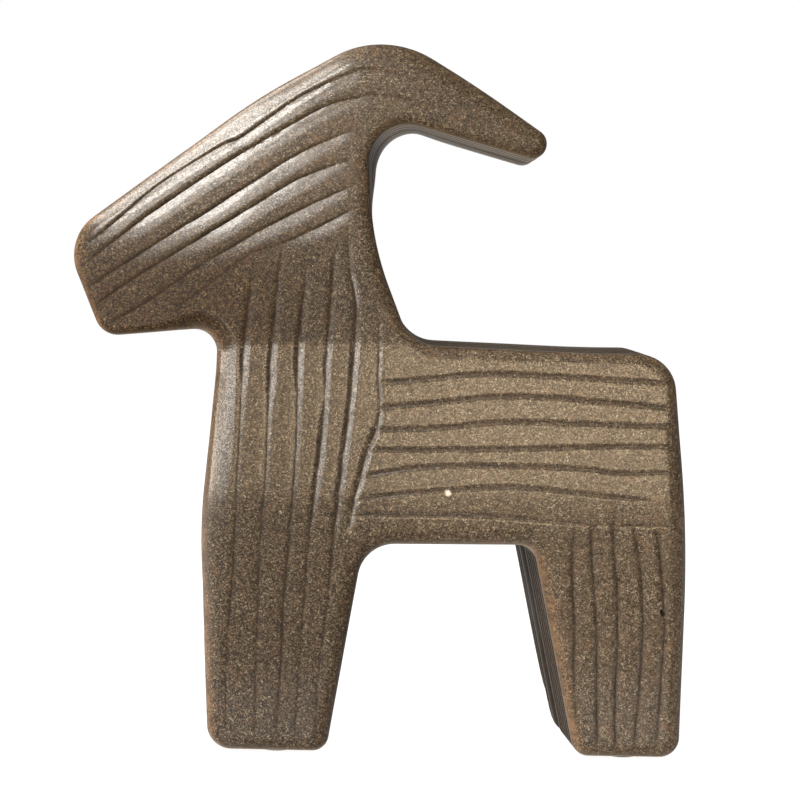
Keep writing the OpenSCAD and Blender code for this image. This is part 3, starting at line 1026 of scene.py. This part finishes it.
def felt_pad(name, node):
    """A punched disc of felt with soft rims, a little fuzzy all round."""
    low, high = (np.array(corner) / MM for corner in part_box(node))
    middle = (low + high) / 2
    radius = (high[0] - low[0]) / 2 - PAD_FUZZ
    thick = high[2] - low[2]
    profile = [(radius * (i + 1) / PAD_RINGS, 0) for i in range(PAD_RINGS - 1)]
    profile += [(radius - inset, share) for inset, share in PAD_RIM]
    profile += [(radius * (i + 1) / PAD_RINGS, 1) for i in reversed(range(PAD_RINGS - 1))]
    rings = []
    for reach, share in profile:
        inward = 1 if share < PAD_FLAT else -1 if share > 1 - PAD_FLAT else 0
        for turn in np.linspace(0, 2 * math.pi, PAD_POINTS, endpoint=False):
            x, y = reach * math.cos(turn), reach * math.sin(turn)
            fuzz = uneven(middle[0] + x, middle[1] + y, FUZZ_THROUGH * share, FUZZ_LENGTH)
            out = 1 + PAD_FUZZ / radius * fuzz * (reach > radius * FUZZ_FROM)
            z = low[2] + thick * share + inward * PAD_DIMPLE * (1 + fuzz)
            rings.append((middle[0] + x * out, middle[1] + y * out, z))
    faces = bands(len(profile), PAD_POINTS, False)
    faces.append(list(range(PAD_POINTS))[::-1])
    faces.append([len(rings) - PAD_POINTS + i for i in range(PAD_POINTS)])
    return new_piece(name, rings, faces)


felt = felt_finish()
for node in ("front_left_pad", "front_right_pad", "hind_left_pad", "hind_right_pad"):
    pad = felt_pad(node + "_felt", node)
    pad.data.shade_smooth()
    pad.data.materials.append(felt)
    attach(pad, "root")
    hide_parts(node)

# The studio is a white sweep that ends just in front of the goat, in a dim, warm room. A soft box with a
# fringe hangs at the upper left, boxes above and behind fill in, and low strips stand at the front and left.

WHITE = (1, 1, 1, 1)
# The sweep from corner to corner, how far it lies below the pads, its grey in the lamps' light, its own
# glow, and the share of the glow where it is background
SWEEP = (-1.2, -0.11, 1.2, 2.0)
DROP = 0.0003
SWEEP_GREY = (0.8, 0.8, 0.8, 1)
SWEEP_GLOW = 1.1
SWEEP_SEEN = 0.88
# The room's light and its strength, and how straight behind the goat reflections meet the white backdrop
ROOM_LIGHT = (1, 0.94, 0.85, 1)
ROOM_STRENGTH = 0.3
BACKDROP_FROM, BACKDROP_FULL = 0.9, 0.98


def background_rays(tree):
    """1 for the rays that show the background: those of the camera, of reflections and through glass."""
    wire = Wire(tree)
    camera, mirror, glass = (wire.node("ShaderNodeLightPath", {}, {}, "Is " + kind + " Ray")
                             for kind in ("Camera", "Glossy", "Transmission"))
    return camera.math("MAXIMUM", camera, camera.math("MAXIMUM", mirror, glass))


x0, y0, x1, y1 = (v / MM for v in SWEEP)
floor = new_piece("floor", [(x0, y0, 0), (x1, y0, 0), (x1, y1, 0), (x0, y1, 0)], [[0, 1, 2, 3]])
floor.location.z = -DROP
white = bpy.data.materials.new("white_sweep")
white.use_nodes = True
tree = white.node_tree
tree.nodes.clear()
seen = background_rays(tree)
lit = seen.node("ShaderNodeBsdfDiffuse", {}, {"Color": SWEEP_GREY})
glow = seen.node("ShaderNodeEmission", {}, {"Color": WHITE, "Strength": SWEEP_GLOW})
blend = seen.node("ShaderNodeMixShader", {}, {0: seen * SWEEP_SEEN, 1: lit, 2: glow})
seen.node("ShaderNodeOutputMaterial", {}, {"Surface": blend})
floor.data.materials.append(white)

world = bpy.data.worlds.new("studio")
world.use_nodes = True
bpy.context.scene.world = world
tree = world.node_tree
tree.nodes.clear()
way = Wire(tree).node("ShaderNodeTexCoord", {}, {}, "Generated")
behind = way.axis("Y").between(BACKDROP_FROM, BACKDROP_FULL)
camera_ray = way.node("ShaderNodeLightPath", {}, {}, "Is Camera Ray")
seen = camera_ray.math("MAXIMUM", camera_ray, background_rays(tree) * behind)
room = way.node("ShaderNodeBackground", {}, {"Color": ROOM_LIGHT, "Strength": ROOM_STRENGTH})
backdrop = way.node("ShaderNodeBackground", {}, {"Color": WHITE, "Strength": 1})
blend = way.node("ShaderNodeMixShader", {}, {0: seen, 1: room, 2: backdrop})
way.node("ShaderNodeOutputWorld", {}, {"Surface": blend})

# Watts for each square metre of a lamp whose brightness is 1
WATTS = 4


def lamp(name, place, aim, size, brightness, colour, mirrored=True):
    """A flat lamp of a size and brightness, turned to its aim, that the camera doesn't see. The glaze
    mirrors it or takes only its light."""
    light = bpy.data.lights.new(name, "AREA")
    light.shape = "RECTANGLE"
    light.size, light.size_y = size
    light.energy = WATTS * brightness * size[0] * size[1]
    light.color = colour
    stand = bpy.data.objects.new(name, light)
    bpy.context.scene.collection.objects.link(stand)
    stand.location = place
    stand.rotation_euler = (Vector(aim) - Vector(place)).to_track_quat("-Z", "Y").to_euler()
    stand.visible_camera = False
    stand.visible_glossy = mirrored


# Boxes stand round the head at one distance: direction, size, brightness, and whether the glaze mirrors
# them
HEAD = Vector((-0.04, -0.025, 0.17))
BOX_AWAY = 1.3
BOX_LIGHT = (1, 0.96, 0.9)
BOXES = {
    "soft_box": ((-0.38, -0.7, 0.6), (0.45, 0.45), 25, True),
    "soft_fringe": ((-0.257, -0.891, 0.375), (0.5, 0.36), 8, True),
    "top_box": ((-0.555, -0.19, 0.81), (1.0, 0.35), 17, True),
    "back_box": ((-0.524, 0.375, 0.765), (0.8, 0.4), 7, True),
    "rear_box": ((0.6, 0.66, 0.45), (0.8, 0.6), 10, False),
}
for name, (direction, size, brightness, mirrored) in BOXES.items():
    lamp(name, HEAD + BOX_AWAY * Vector(direction), HEAD, size, brightness, BOX_LIGHT, mirrored)
# Strips stand low round the front and the left: place, aim, size, brightness and colour
STRIPS = {
    "front_strip": ((0.215, -1.06, 0.0425), (0.215, 0, 0.0425), (0.47, 0.235), 6.1, (1, 0.77, 0.5)),
    "front_end": ((-0.16, -1.06, 0.0425), (-0.16, 0, 0.0425), (0.28, 0.235), 2.8, (1, 0.73, 0.44)),
    "left_strip": ((-0.63, -0.84, 0.106), (-0.03, -0.03, 0.106), (1.0, 0.118), 12.5, (1, 0.93, 0.84)),
    "left_low": ((-0.63, -0.84, 0.008), (-0.03, -0.03, 0.05), (1.0, 0.08), 5, (1, 0.95, 0.88)),
    "side_strip": ((-1.04, -0.13, 0.06), (-0.05, -0.02, 0.06), (0.85, 0.09), 12.5, (1, 0.9, 0.78)),
}
for name, strip in STRIPS.items():
    lamp(name, *strip)

# The camera stands at the goat's left, about 0.6 m away and level with its neck, as the photograph's
# perspective tells. It is rolled a little.

CAMERA_PLACE = Vector((-0.003, -0.628, 0.1467))
CAMERA_AIM = Vector((0.0056, 0, 0.1055))
CAMERA_ROLL = math.radians(1.3)
CAMERA_LENS = 92.16

eye = bpy.data.cameras.new("camera")
eye.lens = CAMERA_LENS
eye.sensor_width = 36
eye.clip_start = 0.01
camera = bpy.data.objects.new("camera", eye)
bpy.context.scene.collection.objects.link(camera)
camera.location = CAMERA_PLACE
aimed = (CAMERA_AIM - CAMERA_PLACE).to_track_quat("-Z", "Y")
camera.rotation_euler = (aimed @ Quaternion((0, 0, 1), CAMERA_ROLL)).to_euler()
bpy.context.scene.camera = camera
bpy.context.scene.view_settings.view_transform = "Standard"
